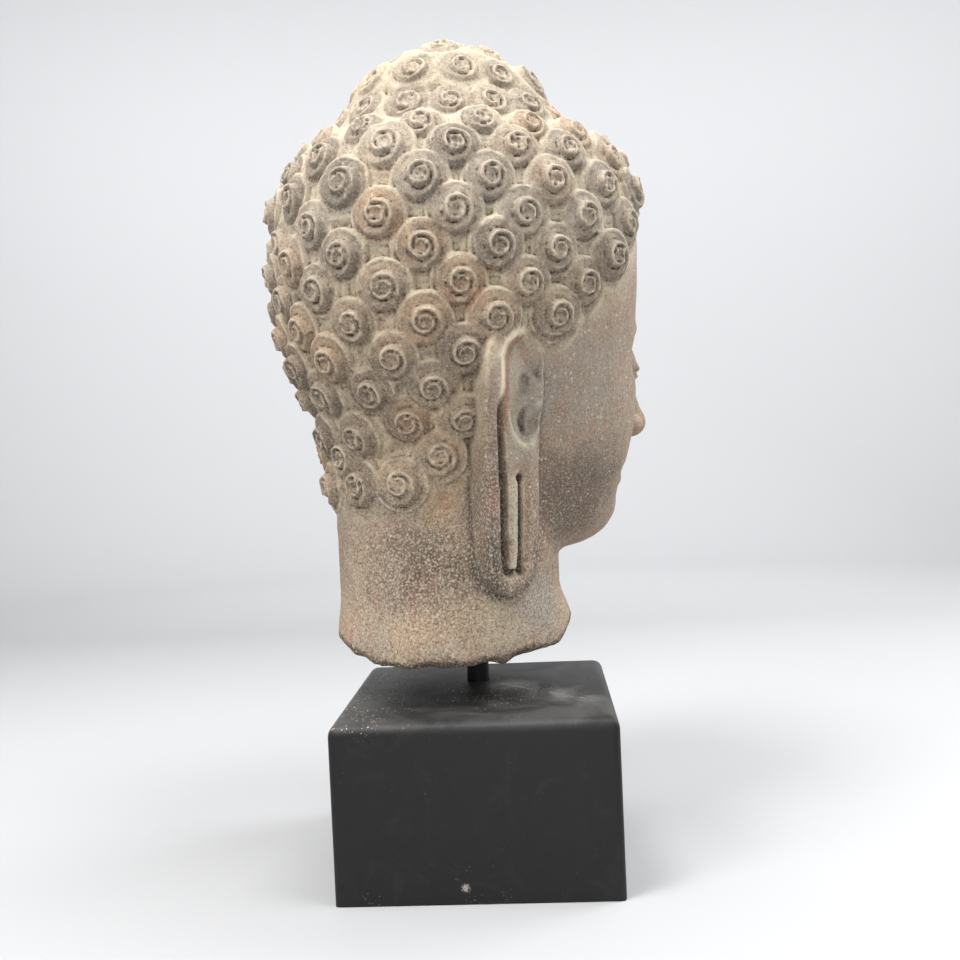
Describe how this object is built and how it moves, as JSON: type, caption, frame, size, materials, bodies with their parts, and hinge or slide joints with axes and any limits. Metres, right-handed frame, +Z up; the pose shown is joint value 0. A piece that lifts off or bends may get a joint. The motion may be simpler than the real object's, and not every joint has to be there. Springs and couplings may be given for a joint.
{
  "type": "stone buddha head",
  "caption": "Life-size carved stone Buddha head with snail-shell curls, a low topknot and long slit ears, held by a steel rod over a black block.",
  "frame": {"origin": "centre of the block's underside, on the surface it stands on", "axes": "+Z up; the block's sides are square to X and Y; the face looks towards -Y turned 27 degrees towards +X"},
  "size_m": [0.2251, 0.2414, 0.4963],
  "materials": {
    "carved_stone": "weathered granular grey-brown stone, matt, with ochre and reddish stains and pale dust in the hollows",
    "black_steel": "blackened steel, satin",
    "black_paint": "wood-fibre block painted matt black, with fine dust"
  },
  "bodies": {
    "root": {"head": "carved_stone", "support_rod": "black_steel", "base_block": "black_paint"}
  },
  "joints": []
}
